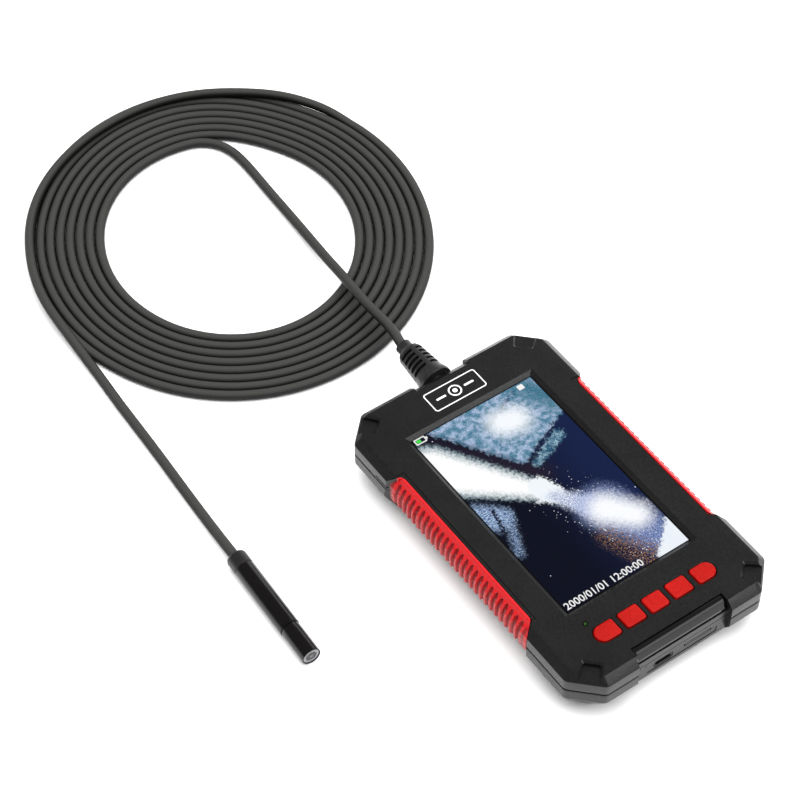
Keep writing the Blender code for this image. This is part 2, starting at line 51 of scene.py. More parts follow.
# Case outline and heights.
HALF_X = 45.3
HALF_Y = 74.4
MIDDLE_Y = -0.6
CORNER_SUM = 109.2
CORNER_SHARE = 3.5 / 3.1
CORNER_ROUND = 3.2
FRONT_Z = 24.0
BEVEL_Z = 21.1
BEVEL_IN = 3.1
PARTING_Z = 16.0
TAPER_Z = 10.9
TAPER_IN = 8.0
CEILING_Z = 21.8
CAVITY = (37.8, 70.8, 98.0)
SET_BACK_Y = 72.8
TOP_SET_BACK_Y = 72.1
TOP_NOTCH_X = 12.4
BOTTOM_NOTCH = (-20.5, 21.2)

# Screen.
OPENING = ((-29.6, -45.0), (29.6, 52.9))
OPENING_BEVEL = 1.5
LIP_Z = 22.7
SCREEN_Z = 22.6
LIT = ((-27.5, -43.0), (27.5, 51.0))
WRITING_AT = (-27.0, -42.3)
WRITING_SIZE = (34.8, 2.9)

# Grips.
GRIP_Y = (-38.5, 39.0)
GRIP_IN = 40.3
GRIP_SLANT = 0.81
GRIP_END = 6.0
SEAT_X = 39.6
SEAT_Z = 10.2
GRIP_SECTION = (
    (40.3, 10.6), (43.0, 10.6), (44.6, 12.2), (45.0, 17.0), (44.5, 19.4), (43.2, 21.3), (42.0, 22.5),
    (40.95, 24.0), (40.3, 23.9),
)
GROOVES = 26
GROOVE_PITCH = 2.957
GROOVE_DEEP = 1.5
GROOVE_TOP_Z = 22.3

# Buttons, light, badge, pockets, bar and sockets.
BUTTON_SPANS = ((-26.8, -17.4), (-15.0, -6.4), (-4.1, 4.0), (6.4, 14.9), (17.6, 26.6))
BUTTON_Y = (-61.3, -54.3)
BUTTON_TOP_Z = 24.5
LED_AT = (-26.0, -51.0)
BADGE = ((-12.1, 56.5), (11.4, 66.0))
BAR_X = (-19.4, 20.9)
USB_X = (-11.3, -3.3)
USB_Z = (10.7, 13.5)
SLOT_X = (2.0, 14.6)
SLOT_Z = (11.95, 13.25)
PINHOLES = ((-18.3, 15.1, 0.45), (-15.4, 14.5, 0.3))
SCREW_AT = (32.5, 59.0)

# Strain relief, cord and camera head.
RELIEF_Z = 17.0
CORD_R = 1.98
LEAD_ROUTE = (
    (0.0, 90.0, 17.0), (0.0, 96.6, 17.0), (0.9, 100.5, 16.6), (3.2, 122.7, 13.0), (5.8, 144.1, 9.0),
    (7.3, 157.0, 6.5), (10.1, 183.3, 3.0), (11.9, 216.3, CORD_R), (12.3, 231.7, CORD_R),
    (11.5, 238.6, CORD_R), (8.6, 245.3, CORD_R), (2.6, 250.6, CORD_R),
)
TAIL_ROUTE = (
    (-97.3, 206.2, 5.96), (-98.3, 194.3, 5.6), (-98.4, 182.8, 4.3), (-98.4, 171.5, 2.8),
    (-98.6, 159.9, CORD_R), (-99.2, 147.9, CORD_R), (-99.6, 135.8, CORD_R), (-100.4, 112.3, CORD_R),
    (-101.1, 97.4, CORD_R), (-102.1, 75.4, 2.4), (-102.9, 60.0, 3.8), (-103.0, 53.5, 4.0),
)
COIL_CENTRE = (-15.8, 196.7)
COIL_TURN = -0.179
COIL_INNER = (52.7, 57.3)
COIL_PITCH = (4.03, 4.23)
COIL_TURNS = 8.2
COIL_FROM = math.radians(90.0)
SHIFT_SHARE = 0.86
CLIMB = (7.82, 7.94)
LEAVE = (8.03, 8.2)
REST = 2 * CORD_R + 0.02
HEAD_REAR = (-102.9, 56.6)
HEAD_TIP = (-104.6, 4.1)
HEAD_Z = 4.0


# ---------------------------------------------------------------- shapes


def link(made):
    bpy.context.scene.collection.objects.link(made)
    return made


def smooth(made, degrees=32):
    made.data.shade_smooth()
    made.data.set_sharp_from_angle(angle=math.radians(degrees))
    return made


def mesh_piece(name, points, faces):
    """A mesh object from points in millimetres, its faces turned outwards."""
    mesh = bpy.data.meshes.new(name)
    mesh.from_pydata([Vector(point) * MM for point in points], [], faces)
    tidy = bmesh.new()
    tidy.from_mesh(mesh)
    bmesh.ops.recalc_face_normals(tidy, faces=tidy.faces)
    tidy.to_mesh(mesh)
    tidy.free()
    return link(bpy.data.objects.new(name, mesh))


def loft(name, rows):
    """A closed body through outlines with equal numbers of points."""
    count = len(rows[0])
    points = [point for row in rows for point in row]
    faces = [tuple(range(count)), tuple(range(len(points) - count, len(points)))]
    for first in range(0, len(points) - count, count):
        for i in range(count):
            j = (i + 1) % count
            faces.append((first + i, first + j, first + count + j, first + count + i))
    return mesh_piece(name, points, faces)


def prism(name, outline, low, high):
    return loft(name, [[(x, y, z) for x, y in outline] for z in (low, high)])


def box(name, low, high):
    outline = [(low[0], low[1]), (high[0], low[1]), (high[0], high[1]), (low[0], high[1])]
    return prism(name, outline, low[2], high[2])


def turned(name, profile, segments=48, start=(0.0, 0.0, 0.0), heading=(0.0, 1.0, 0.0)):
    """A body turned about a line; profile is (distance, radius), a ring if it ends where it starts."""
    along = Vector(heading).normalized()
    across = Vector((0.0, 0.0, 1.0)) if abs(along.z) < 0.5 else Vector((1.0, 0.0, 0.0))
    side = along.cross(across)
    ring = profile[0] == profile[-1]
    points = []
    rows = []
    for distance, radius in profile[:-1] if ring else profile:
        centre = Vector(start) + along * distance
        if radius == 0.0:
            rows.append([len(points)] * segments)
            points.append(centre)
            continue
        rows.append(range(len(points), len(points) + segments))
        for i in range(segments):
            angle = 2 * math.pi * i / segments
            points.append(centre + (across * math.cos(angle) + side * math.sin(angle)) * radius)
    pairs = list(zip(rows, rows[1:]))
    faces = []
    if ring:
        pairs.append((rows[-1], rows[0]))
    else:
        faces += [tuple(row) for row in (rows[0], rows[-1]) if len(set(row)) > 1]
    for first, second in pairs:
        for i in range(segments):
            j = (i + 1) % segments
            corners = dict.fromkeys((first[i], first[j], second[j], second[i]))
            if len(corners) > 2:
                faces.append(tuple(corners))
    return smooth(mesh_piece(name, points, faces))


def eased(points, radius, steps=5, closed=False):
    """The points of a path with each corner replaced by a short curve."""
    points = [Vector(point) for point in points]
    last = len(points) - 1
    path = []
    for i, corner in enumerate(points):
        if not closed and i in (0, last):
            path.append(corner)
            continue
        before = points[i - 1] - corner
        after = points[(i + 1) % len(points)] - corner
        inside = before.angle(after)
        reach = min(radius / math.tan(inside / 2), 0.48 * before.length, 0.48 * after.length)
        first = corner + before.normalized() * reach
        second = corner + after.normalized() * reach
        for step in range(steps + 1):
            share = step / steps
            path.append(first * (1 - share) ** 2 + corner * 2 * share * (1 - share) + second * share**2)
    return path


def octagon(half_x, half_y, corner_sum, round_by=CORNER_ROUND, middle_y=0.0):
    corners = (
        (half_x, corner_sum - half_x), (corner_sum - half_y, half_y),
        (half_y - corner_sum, half_y), (-half_x, corner_sum - half_x),
        (-half_x, half_x - corner_sum), (half_y - corner_sum, -half_y),
        (corner_sum - half_y, -half_y), (half_x, half_x - corner_sum),
    )
    return eased([(x, y + middle_y) for x, y in corners], round_by, 5, True)


def case_row(inset, z):
    """The case's outline drawn in by inset."""
    corner_sum = CORNER_SUM - CORNER_SHARE * inset
    outline = octagon(HALF_X - inset, HALF_Y - inset, corner_sum, middle_y=MIDDLE_Y)
    return [(x, y, z) for x, y in outline]


def rounded(low, high, left_r, right_r, steps=6):
    """A rectangle's outline with its own corner radius at each end."""
    outline = []
    corners = (
        (high[0] - right_r, high[1] - right_r, right_r, 0),
        (low[0] + left_r, high[1] - left_r, left_r, 1),
        (low[0] + left_r, low[1] + left_r, left_r, 2),
        (high[0] - right_r, low[1] + right_r, right_r, 3),
    )
    for x, y, radius, quarter in corners:
        for step in range(steps + 1):
            angle = (quarter + step / steps) * math.pi / 2
            outline.append((x + radius * math.cos(angle), y + radius * math.sin(angle)))
    return outline


def grown(low, high, by):
    return (low[0] - by, low[1] - by), (high[0] + by, high[1] + by)


def join_shapes(target, operation, cutters):
    """Cuts the shapes from the target, or adds them, and clears them away."""
    for cutter in cutters:
        change = target.modifiers.new(cutter.name, "BOOLEAN")
        change.operation = operation
        change.solver = "EXACT"
        change.object = cutter
    graph = bpy.context.evaluated_depsgraph_get()
    mesh = bpy.data.meshes.new_from_object(target.evaluated_get(graph))
    target.modifiers.clear()
    target.data = mesh
    for cutter in cutters:
        bpy.data.objects.remove(cutter)
    return target


def spline(route, spacing):
    """Evenly read points of the natural cubic through the route."""
    route = np.array(route)
    knots = np.concatenate([[0.0], np.cumsum(np.linalg.norm(np.diff(route, axis=0), axis=1))])
    step = np.diff(knots)
    slope = np.diff(route, axis=0) / step[:, None]
    system = np.eye(len(route))
    right = np.zeros_like(route)
    for i in range(1, len(route) - 1):
        system[i, i - 1 : i + 2] = step[i - 1], 2 * (step[i - 1] + step[i]), step[i]
        right[i] = 6 * (slope[i] - slope[i - 1])
    bend = np.linalg.solve(system, right)
    points = []
    for at in np.linspace(0.0, knots[-1], int(knots[-1] / spacing) + 1):
        i = min(int(np.searchsorted(knots, at, side="right")) - 1, len(step) - 1)
        u = at - knots[i]
        linear = slope[i] - step[i] * (2 * bend[i] + bend[i + 1]) / 6
        cubic = (bend[i + 1] - bend[i]) / (6 * step[i])
        points.append(route[i] + linear * u + bend[i] * u**2 / 2 + cubic * u**3)
    return points


def settle(piece, body, slot, material, *nodes):
    """Gives a piece its material and its body, and hides the CAD nodes that it stands for."""
    piece.data.materials.clear()
    piece.data.materials.append(material)
    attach(piece, body)
    if nodes:
        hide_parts(*nodes)
    return piece


# ------------------------------------------------------------- materials


class Surface:
    """A node material while it is being put together."""

    def __init__(self, name, roughness=0.5, metallic=0.0, specular=0.5):
        self.made = bpy.data.materials.new(name)
        self.made.use_nodes = True
        self.tree = self.made.node_tree
        self.shader = self.tree.nodes["Principled BSDF"]
        self.set(**{"Roughness": roughness, "Metallic": metallic, "Specular IOR Level": specular})
        self.at = self.node("ShaderNodeTexCoord").outputs["Object"]

    def set(self, **values):
        for name, value in values.items():
            self.shader.inputs[name].default_value = value

    def node(self, kind, **settings):
        made = self.tree.nodes.new(kind)
        for name, value in settings.items():
            setattr(made, name, value)
        return made

    def feed(self, socket, value):
        if isinstance(value, bpy.types.NodeSocket):
            self.tree.links.new(value, socket)
        else:
            socket.default_value = value

    def noise(self, scale, detail=2.0, roughness=0.5, at=None):
        made = self.node("ShaderNodeTexNoise")
        for name, value in (("Scale", scale), ("Detail", detail), ("Roughness", roughness)):
            made.inputs[name].default_value = value
        self.feed(made.inputs["Vector"], at or self.at)
        return made.outputs["Fac"]

    def math(self, operation, *values, clamp=False):
        made = self.node("ShaderNodeMath", operation=operation, use_clamp=clamp)
        for socket, value in zip(made.inputs, values):
            self.feed(socket, value)
        return made.outputs[0]

    def vector(self, operation, *values, output="Vector"):
        made = self.node("ShaderNodeVectorMath", operation=operation)
        for socket, value in zip(made.inputs, values):
            self.feed(socket, value)
        return made.outputs[output]

    def between(self, value, low, high, to_low=0.0, to_high=1.0):
        """value from low to high, eased to to_low and to_high."""
        made = self.node("ShaderNodeMapRange", interpolation_type="SMOOTHSTEP")
        for socket, number in zip(made.inputs, (value, low, high, to_low, to_high)):
            self.feed(socket, number)
        return made.outputs[0]

    def mix(self, share, first, second):
        made = self.node("ShaderNodeMix", data_type="RGBA")
        self.feed(made.inputs[0], share)
        for socket, colour in zip((made.inputs[6], made.inputs[7]), (first, second)):
            self.feed(socket, colour if isinstance(colour, bpy.types.NodeSocket) else (*colour, 1.0))
        return made.outputs[2]

    def paint(self, colour):
        self.feed(self.shader.inputs["Base Color"], colour)

    def bump(self, height, distance, strength=1.0):
        made = self.node("ShaderNodeBump")
        made.inputs["Strength"].default_value = strength
        made.inputs["Distance"].default_value = distance
        self.feed(made.inputs["Height"], height)
        self.feed(self.shader.inputs["Normal"], made.outputs["Normal"])


def moulded(name, dark, light, roughness, grain=0.00006, specular=0.5, coarse=1400.0):
    """Moulded plastic or rubber: a faint cloud of colour, fine grain and uneven sheen."""
    made = Surface(name, specular=specular)
    cloud = made.noise(60.0, 3.0)
    speck = made.noise(coarse, 2.0, 0.6)
    made.paint(made.mix(made.between(made.math("ADD", cloud, speck), 0.7, 1.3), dark, light))
    uneven = made.between(speck, 0.3, 0.7, roughness - 0.06, roughness + 0.06)
    made.feed(made.shader.inputs["Roughness"], uneven)
    made.bump(speck, grain)
    return made.made


def metal(name, colour, roughness, along=(1.0, 40.0, 1.0)):
    """Brushed metal with fine streaks."""
    made = Surface(name, metallic=1.0)
    streak = made.noise(900.0, 2.0, 0.5, made.vector("MULTIPLY", made.at, along))
    worn = tuple(share * 0.75 for share in colour)
    made.paint(made.mix(streak, worn, colour))
    made.feed(made.shader.inputs["Roughness"], made.between(streak, 0.2, 0.8, roughness, roughness + 0.15))
    made.bump(streak, 0.00002)
    return made.made


def srgb(*shares):
    """Linear light from display values of 0 to 255."""
    return tuple((share / 255) ** 2.2 for share in shares)


class Picture(Surface):
    """The screen's picture, painted in millimetres from soft shapes."""

    def __init__(self, name):
        super().__init__(name, 0.12, specular=0.12)
        self.at = self.vector("MULTIPLY", self.at, (1 / MM, 1 / MM, 0.0))
        rough = self.node("ShaderNodeTexNoise")
        self.feed(rough.inputs["Vector"], self.at)
        rough.inputs["Scale"].default_value = 0.9
        rough.inputs["Detail"].default_value = 4.0
        moved = self.vector("SUBTRACT", rough.outputs["Color"], (0.5, 0.5, 0.5))
        self.wavy = self.vector("MULTIPLY_ADD", moved, (5.0, 5.0, 0.0), self.at)
        self.base = srgb(12, 16, 34)

    def limb(self, start, end, radii, soft, at=None):
        """1 within a tapered stroke from start to end, falling to 0 over soft on each side."""
        start, end = Vector((*start, 0.0)), Vector((*end, 0.0))
        along = end - start
        offset = self.vector("SUBTRACT", at or self.wavy, tuple(start))
        dot = self.vector("DOT_PRODUCT", offset, tuple(along), output="Value")
        share = self.math("MULTIPLY", dot, 1 / along.length_squared, clamp=True)
        nearest = self.node("ShaderNodeVectorMath", operation="SCALE")
        nearest.inputs[0].default_value = along
        self.feed(nearest.inputs["Scale"], share)
        gap = self.vector("SUBTRACT", offset, nearest.outputs["Vector"])
        distance = self.vector("LENGTH", gap, output="Value")
        radius = self.math("MULTIPLY_ADD", share, radii[1] - radii[0], radii[0])
        return self.between(self.math("SUBTRACT", distance, radius), soft, -soft)

    def beyond(self, start, end, soft, at=None):
        """1 on the left of the line from start to end, 0 on its right."""
        way = (Vector(end) - Vector(start)).normalized()
        left = (-way.y, way.x, 0.0)
        offset = self.vector("SUBTRACT", at or self.wavy, (*start, 0.0))
        dot = self.vector("DOT_PRODUCT", offset, left, output="Value")
        return self.between(dot, -soft, soft)

    def over(self, share, colour):
        self.base = self.mix(share, self.base, colour)

    def dots(self, scale, radius, few):
        """Small round specks, few of them lit."""
        cells = self.node("ShaderNodeTexVoronoi")
        cells.inputs["Scale"].default_value = scale
        self.feed(cells.inputs["Vector"], self.at)
        chosen = self.node("ShaderNodeSeparateColor")
        self.feed(chosen.inputs[0], cells.outputs["Color"])
        near = self.between(cells.outputs["Distance"], radius * scale, radius * scale * 0.5)
        return self.math("MULTIPLY", near, self.math("LESS_THAN", chosen.outputs[0], few))

    def both(self, first, second):
        return self.math("MULTIPLY", first, second)


def paint_rock(made, patchy):
    """The rock along the top, with its cracks and the glare on it."""
    deep = made.mix(patchy, srgb(22, 58, 92), srgb(66, 112, 170))
    pale = made.mix(patchy, srgb(120, 178, 205), srgb(226, 240, 252))
    stone = made.mix(made.between(made.noise(3.4, 3.0, 0.7, made.at), 0.4, 0.62), deep, pale)
    rock = made.both(made.beyond((0, 19), (-20, 50), -0.8), made.beyond((-2, 18), (28, 31), 0.8))
    made.over(rock, stone)
    clouds = made.between(made.noise(3.0, 3.0, 0.7, made.at), 0.42, 0.6)
    teal = made.mix(clouds, srgb(14, 50, 62), srgb(96, 160, 190))
    made.over(made.both(rock, made.limb((19, 54), (32, 34), (4.0, 6.0), 6.0)), teal)
    made.over(made.both(made.limb((18, 49), (1, 41), (0.1, 0.5), 1.0), rock), srgb(30, 52, 80))
    made.over(made.both(made.limb((-20, 51), (0, 20), (0.2, 0.2), 1.6), rock), srgb(40, 62, 92))
    made.over(made.limb((6, 39), (10, 38), (6.0, 6.0), 4.5), srgb(246, 250, 255))


def paint_beam(made, fine, patchy):
    """The white beam from the left, with its mottled edge and its tip."""
    strip = made.both(made.limb((4.5, 16.5), (19, 22.5), (1.7, 2.4), 1.0), made.between(fine, 0.4, 0.56))
    made.over(strip, made.mix(patchy, srgb(60, 110, 140), srgb(165, 205, 225)))
    mottle = made.between(made.noise(3.0, 3.0, 0.7, made.at), 0.4, 0.6)
    skin = made.mix(mottle, srgb(26, 44, 48), srgb(176, 208, 220))
    made.over(made.limb((-30, 36), (-2, 5), (11.8, 4.4), 1.8), skin)
    made.over(made.limb((-30, 36), (-2, 5), (9.6, 3.0), 2.8), srgb(255, 255, 255))
    made.over(made.limb((-1.5, 7), (0.5, 1.5), (4.4, 4.4), 0.8), srgb(240, 246, 250))
    made.over(made.limb((-7, 1.5), (-2, 2.5), (0.3, 1.5), 0.7), srgb(235, 242, 250))
    spray = made.mix(made.between(fine, 0.42, 0.58), srgb(120, 140, 190), srgb(245, 248, 255))
    made.over(made.limb((0.5, 0), (8, -10), (2.6, 5.0), 2.2), spray)


def paint_splash(made, fine, coarse, blue):
    """The bright splash, the blue rock under the beam, the gold grit and the dust."""
    halo = made.both(made.limb((12, -14), (21, -36), (9.5, 7.0), 4.5), made.between(fine, 0.38, 0.6))
    made.over(halo, srgb(150, 170, 225))
    made.over(made.limb((12, -15), (19, -23), (6.6, 5.5), 4.5), srgb(250, 252, 255))
    upper = made.limb((-29, 9), (-23, 4), (5.5, 5.2), 2.4)
    made.over(made.both(upper, made.between(fine, 0.32, 0.5)), blue)
    lower = made.limb((-18.5, 4), (-26, -13), (1.8, 1.4), 1.8)
    made.over(made.both(lower, made.between(fine, 0.42, 0.54)), blue)
    made.over(made.limb((-22.3, 8), (-24.5, -3), (0.7, 0.7), 0.5), srgb(22, 26, 44))
    grit = made.between(made.noise(1.4, 3.0, 0.7, made.at), 0.5, 0.58)
    gold = made.both(made.limb((5, -25), (13, -42), (4.0, 6.0), 3.0), grit)
    made.over(gold, srgb(150, 112, 84))
    corner = made.both(made.beyond((29, -29), (12, -44), 0.8), made.between(coarse, 0.0, 0.3))
    made.over(corner, srgb(236, 242, 250))
    near = made.limb((2, 2), (20, -32), (9.0, 14.0), 4.0, made.at)
    made.over(made.both(made.dots(0.9, 0.28, 0.45), near), srgb(245, 248, 255))
    made.over(made.dots(0.16, 0.32, 0.7), srgb(225, 230, 245))


def lit_area(made, x, y):
    """1 on the lit part of the panel, 0 on its dark rim."""
    low, high = Vector(LIT[0]), Vector(LIT[1])
    lit = None
    for value, at, way in ((x, low.x, 1), (x, high.x, -1), (y, low.y, 1), (y, high.y, -1)):
        inside = made.between(value, at - 0.08 * way, at + 0.08 * way)
        lit = inside if lit is None else made.both(lit, inside)
    return lit


def screen_picture():
    """What the camera sees: a white beam between blue rock, with bright dust."""
    made = Picture("screen_picture")
    split = made.node("ShaderNodeSeparateXYZ")
    made.feed(split.inputs[0], made.at)
    fine = made.noise(2.2, 4.0, 0.7, made.at)
    coarse = made.noise(0.35, 3.0, 0.6, made.at)
    streak = made.noise(1.0, 4.0, 0.7, made.vector("MULTIPLY", made.at, (0.8, 2.2, 1.0)))
    made.over(made.between(split.outputs[0], -12.0, 26.0), srgb(24, 36, 72))
    made.over(made.limb((-22, 44), (2, 12), (3.0, 4.0), 6.0), srgb(38, 32, 48))
    patchy = made.between(coarse, 0.38, 0.62)
    blue = made.mix(made.between(streak, 0.35, 0.65), srgb(34, 70, 130), srgb(190, 216, 245))
    paint_rock(made, patchy)
    paint_beam(made, fine, patchy)
    paint_splash(made, fine, coarse, blue)
    lit = lit_area(made, split.outputs[0], split.outputs[1])
    made.base = made.mix(lit, srgb(8, 8, 9), made.base)
    made.paint((0.001, 0.001, 0.001, 1.0))
    made.feed(made.shader.inputs["Emission Color"], made.base)
    made.set(**{"Emission Strength": 1.0})
    made.feed(made.shader.inputs["Roughness"], made.between(fine, 0.0, 1.0, 0.1, 0.14))
    return made.made


def glowing(name, colour):
    """A sign on the screen: flat light with the panel's fine grain."""
    made = Surface(name, 0.3, specular=0.1)
    grain = made.noise(2500.0, 1.0)
    dim = tuple(0.85 * share for share in colour)
    made.feed(made.shader.inputs["Emission Color"], made.mix(grain, dim, colour))
    made.set(**{"Emission Strength": 1.0})
    made.paint(made.mix(grain, (0.004, 0.004, 0.004), (0.006, 0.006, 0.006)))
    return made.made


def grip_rubber():
    """Red rubber, with painted shade darkening it inside the grooves."""
    made = Surface("grip_rubber", specular=0.4)
    split = made.node("ShaderNodeSeparateXYZ")
    made.feed(split.inputs[0], made.at)
    middle = sum(GRIP_Y) / 2
    pitch = GROOVE_PITCH * MM
    phase = made.math("MULTIPLY_ADD", split.outputs[1], 1 / pitch, GROOVES / 2 - middle / GROOVE_PITCH)
    across = made.math("ABSOLUTE", made.math("SUBTRACT", made.math("FRACT", phase), 0.5))
    # Mask of the grooves below their tops, where the painted shade goes.
    inside = made.between(across, 0.34, 0.16)
    below = made.between(split.outputs[2], GROOVE_TOP_Z * MM, (GROOVE_TOP_Z - 1.3) * MM)
    speck = made.noise(2200.0, 2.0, 0.6)
    plain = made.mix(speck, (0.40, 0.0035, 0.006), (0.46, 0.006, 0.009))
    # The dark red is painted shade in the grooves, not the rubber's own colour.
    made.paint(made.mix(made.math("MULTIPLY", inside, below), plain, (0.19, 0.0, 0.001)))
    made.feed(made.shader.inputs["Roughness"], made.between(speck, 0.3, 0.7, 0.36, 0.46))
    made.bump(speck, 0.00002)
    return made.made


def cord_jacket():
    """Matt jacket, darker towards its underside where the turns shade each other."""
    made = Surface("cord_plastic", specular=0.2)
    split = made.node("ShaderNodeSeparateXYZ")
    made.feed(split.inputs[0], made.node("ShaderNodeTexCoord").outputs["Normal"])
    speck = made.noise(1600.0, 2.0, 0.6)
    lit = made.math("POWER", made.between(split.outputs[2], 0.0, 1.0), 1.8)
    fibre = made.mix(speck, (0.029, 0.029, 0.027), (0.037, 0.037, 0.035))
    made.paint(made.mix(lit, (0.005, 0.005, 0.005), fibre))
    made.feed(made.shader.inputs["Roughness"], made.between(speck, 0.3, 0.7, 0.48, 0.6))
    made.bump(speck, 0.00003)
    return made.made


# ---------------------------------------------------------- camera, cord


def make_stage():
    reach = 3000.0
    corners = [(sx * reach, sy * reach, -0.1) for sx, sy in ((-1, -1), (1, -1), (1, 1), (-1, 1))]
    floor = mesh_piece("floor", corners, [(0, 1, 2, 3)])
    paper = Surface("pale_paper", 0.95, specular=0.05)
    paper.paint(paper.mix(paper.noise(8.0), (0.87, 0.87, 0.87), (0.89, 0.89, 0.89)))
    floor.data.materials.append(paper.made)
    world = bpy.data.worlds.new("studio")
    bpy.context.scene.world = world
    world.use_nodes = True
    back = world.node_tree.nodes["Background"]
    back.inputs["Color"].default_value = (1.0, 1.0, 1.0, 1.0)
    back.inputs["Strength"].default_value = 0.25
    bpy.context.scene.view_settings.view_transform = "Standard"


def make_light(name, at, target, size, energy, shine=True):
    lamp = bpy.data.lights.new(name, "AREA")
    lamp.shape = "RECTANGLE"
    lamp.size, lamp.size_y = size
    lamp.energy = energy
    made = link(bpy.data.objects.new(name, lamp))
    made.location = at
    made.rotation_euler = (Vector(target) - Vector(at)).to_track_quat("-Z", "Y").to_euler()
    made.visible_glossy = shine


def make_lights():
    middle = (-0.01, 0.08, 0.0)
    make_light("overhead", (0.0, 0.1, 2.0), middle, (3.0, 3.0), 130.0, False)
    make_light("key", (0.62, -1.15, 1.02), middle, (1.1, 0.8), 10.0)
    make_light("side", (1.5, 1.1, 0.8), middle, (1.0, 0.9), 5.0)


def make_camera():
    lens = bpy.data.cameras.new("view")
    lens.lens = 108.0
    lens.sensor_width = 36.0
    lens.clip_start = 0.02
    made = link(bpy.data.objects.new("view", lens))
    made.location = Vector((-354.05, -402.77, 716.90)) * MM
    target = Vector((-8.49, 85.68, 0.0)) * MM
    made.rotation_euler = (target - made.location).to_track_quat("-Z", "Y").to_euler()
    bpy.context.scene.camera = made


def ease(value, low, high):
    share = min(max((value - low) / (high - low), 0.0), 1.0)
    return share * share * (3.0 - 2.0 * share)


def coil_points():
    """Centreline of the turns, from the inside out; the last part rolls onto the turn inside it."""
    turn = Matrix.Rotation(COIL_TURN, 2)
    steps = int(COIL_TURNS * 48)
    last = int(COIL_TURNS) - 1
    points = []
    for i in range(steps + 1):
        turns = COIL_TURNS * i / steps
        whole = int(turns)
        moved = ease(turns - whole, SHIFT_SHARE, 1.0)
        out, z = whole + moved, CORD_R
        if turns > last:
            climbed = ease(turns, *CLIMB)
            below = moved if whole == last else 1.0
            apart = max(0.0, 1.0 - climbed - below) * COIL_PITCH[0]
            z += math.sqrt(max(0.0, REST**2 - apart**2))
            out = last - climbed + ease(turns, *LEAVE)
        angle = COIL_FROM + 2 * math.pi * turns
        minor, major = (inner + out * pitch for inner, pitch in zip(COIL_INNER, COIL_PITCH))
        at = turn @ Vector((minor * math.cos(angle), major * math.sin(angle)))
        points.append((COIL_CENTRE[0] + at.x, COIL_CENTRE[1] + at.y, z))
    return points


def make_cord(look):
    route = list(LEAD_ROUTE) + coil_points() + list(TAIL_ROUTE)
    points = spline(route, 3.0)
    curve = bpy.data.curves.new("cord", "CURVE")
    curve.dimensions = "3D"
    curve.bevel_depth = CORD_R * MM
    curve.bevel_resolution = 5
    curve.use_fill_caps = True
    line = curve.splines.new("POLY")
    line.points.add(len(points) - 1)
    for slot, (x, y, z) in zip(line.points, points):
        slot.co = (x * MM, y * MM, max(z, CORD_R) * MM, 1.0)
    line.use_smooth = True
    made = link(bpy.data.objects.new("cord", curve))
    settle(made, "monitor", "cord_jacket", look, "cord_lead", "cord_coil", "cord_tail")
    return made


# ------------------------------------------------------------ front shell


def make_front_shell(look):
    profile = (
        (0.35, PARTING_Z + 0.15), (0.0, PARTING_Z + 0.5), (0.0, BEVEL_Z), (BEVEL_IN, FRONT_Z),
        (BEVEL_IN + 2.5, FRONT_Z),
    )
    shell = loft("front_case", [case_row(inset, z) for inset, z in eased(profile, 0.55, 4)])
    cutters = [front_cavity(), *notch_cutters(), *grip_cutters()]
    cutters += [opening_cutter(), *button_cutters(), *pocket_cutters(), *channel_cutters()]
    cutters.append(turned("cut", ((15.0, 0.9), (23.7, 0.9), (24.3, 1.3)), 24, (*LED_AT, 0.0), (0, 0, 1)))
    badge = rounded(*grown(*BADGE, GAP), 1.6, 1.6)
    cutters.append(prism("cut", badge, 23.1, FRONT_Z + PAST))
    cutters.append(box("cut", (BAR_X[0] - GAP, -90.0, 18.9), (BAR_X[1] + GAP, -68.3, 30.0)))
    cutters.append(turned("cut", ((68.8, 3.6), (78.8, 3.6)), 32, (0.0, 0.0, RELIEF_Z)))
    cutters.append(box("cut", (-47.0, 41.4, 17.2), (-44.6, 49.2, 17.9)))
    join_shapes(shell, "DIFFERENCE", cutters)
    smooth(shell)
    settle(shell, "monitor", "case_black", look, "front_shell")


def front_cavity():
    outline = [(x, max(y, -66.3)) for x, y in octagon(*CAVITY, 0.5)]
    return prism("cut", outline, PARTING_Z - PAST, CEILING_Z)


def notch_cutters():
    wall = TOP_SET_BACK_Y
    profile = (
        (wall, -PAST), (90.0, -PAST), (90.0, 30.0), (wall - BEVEL_IN, 30.0), (wall - BEVEL_IN, FRONT_Z),
        (wall, BEVEL_Z),
    )
    top = loft("cut", [[(x, y, z) for y, z in profile] for x in (-TOP_NOTCH_X, TOP_NOTCH_X)])
    bottom = box("cut", (BOTTOM_NOTCH[0], -90.0, -PAST), (BOTTOM_NOTCH[1], -SET_BACK_Y, 30.0))
    return top, bottom


def grip_cutters():
    """Seats for the grips, and the walls below them drawn in."""
    far = HALF_X + PAST
    seat = GRIP_IN - GAP
    top = FRONT_Z + PAST
    profile = ((seat, top), (seat, SEAT_Z), (SEAT_X, SEAT_Z), (SEAT_X, -PAST), (far, -PAST), (far, top))
    low, high = GRIP_Y[0] - GAP, GRIP_Y[1] + GAP
    cutters = []
    for side in SIDES:
        rows = []
        for y, way, drawn in (
            (low, -1, 0.0), (high - 2.0, 1, 0.0), (high - 1.2, 1, 0.35), (high - 0.5, 1, 1.0), (high, 1, 2.2),
        ):
            row = []
            for x, z in profile:
                slanted = y + way * GRIP_SLANT * max(x - seat, 0.0)
                row.append((side * (x + drawn * (x == seat)), slanted, z))
            rows.append(row)
        cutters.append(loft("cut", rows))
    return cutters


def channel_cutters():
    """Shallow channels along the inner edge of each grip."""
    cutters = []
    for side in SIDES:
        near, far = sorted((side * 38.75, side * 42.0))
        low, high = (near, GRIP_Y[0] - 1.2, FRONT_Z - 0.3), (far, GRIP_Y[1] + 1.4, FRONT_Z + PAST)
        cutters.append(box("cut", low, high))
    return cutters


